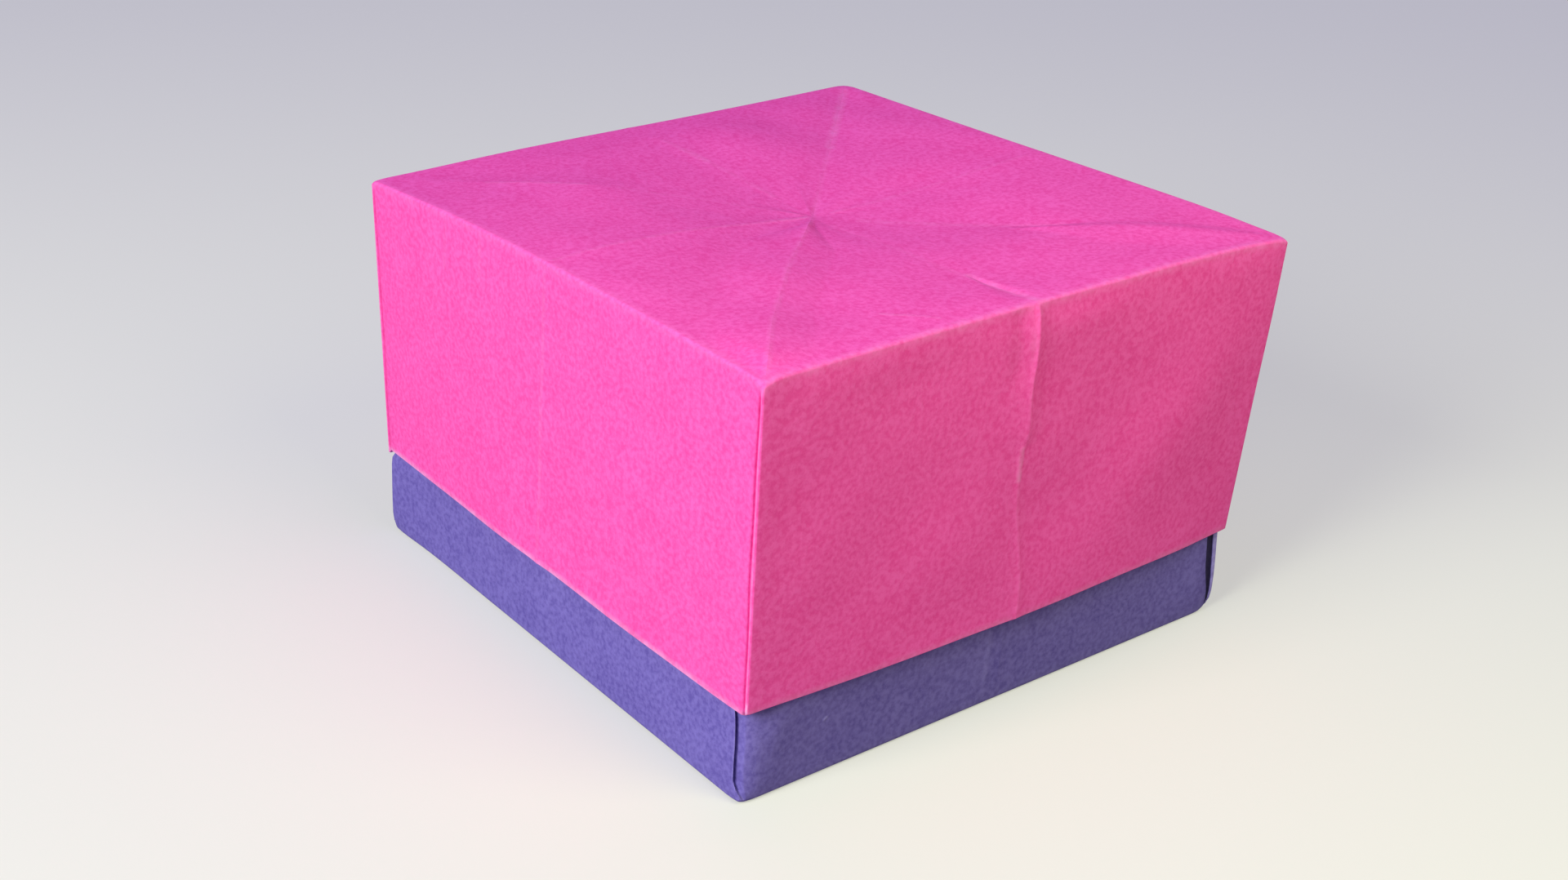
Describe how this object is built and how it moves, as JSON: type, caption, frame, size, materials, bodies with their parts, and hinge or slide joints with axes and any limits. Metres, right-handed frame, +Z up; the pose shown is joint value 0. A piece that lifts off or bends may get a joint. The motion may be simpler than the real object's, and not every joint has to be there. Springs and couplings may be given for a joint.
{
  "type": "origami box",
  "caption": "Square folded paper box with a lid that lifts straight off a slightly smaller, deeper base.",
  "frame": {"origin": "on the surface the box stands on, below the middle of its floor", "axes": "+Z up through the lid; X across the lid's two end walls, which hold the folded corners; Y across its two side walls"},
  "size_m": [0.0746, 0.0756, 0.0483],
  "materials": {
    "lid_paper": "matte",
    "base_paper": "matte"
  },
  "bodies": {
    "base": {"base": "base_paper"},
    "lid": {"lid": "lid_paper"}
  },
  "joints": [
    {"name": "lid_lift", "type": "slide", "parent": "base", "child": "lid", "axis": [0, 0, 1], "range_m": [0, 0.045]}
  ]
}
